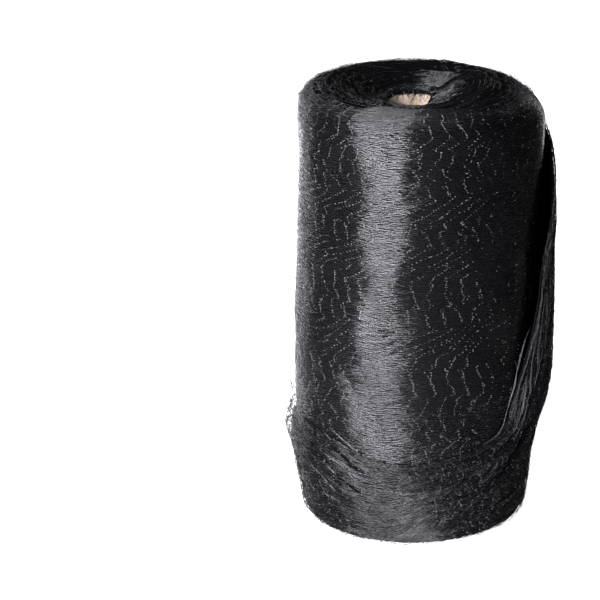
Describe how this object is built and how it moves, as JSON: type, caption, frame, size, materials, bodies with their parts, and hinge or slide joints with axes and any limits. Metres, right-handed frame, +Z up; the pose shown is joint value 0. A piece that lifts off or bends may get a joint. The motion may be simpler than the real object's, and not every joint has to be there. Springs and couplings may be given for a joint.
{
  "type": "bird netting roll",
  "caption": "Upright roll of fine black knotted bird netting wound on a cardboard core, its last turn loose and sagging in folds round the foot.",
  "frame": {"origin": "bottom centre of the roll's footprint box, on the surface it stands on; the core's axis is 3 mm to -X of it", "axes": "+Z up along the core's axis, -Y the front, where the loose lap sags lowest, +X the side on which the lap stands off"},
  "size_m": [0.2401, 0.2266, 0.4045],
  "materials": {
    "net_black": "fine black knotted net, wound tight, with a soft streaky sheen",
    "loose_net_black": "the same net, a few loose layers in folds",
    "cardboard": "pale brown spiral-wound cardboard, matte"
  },
  "bodies": {
    "root": {"net_roll": "net_black", "core_tube": "cardboard", "loose_lap": "loose_net_black"}
  },
  "joints": []
}
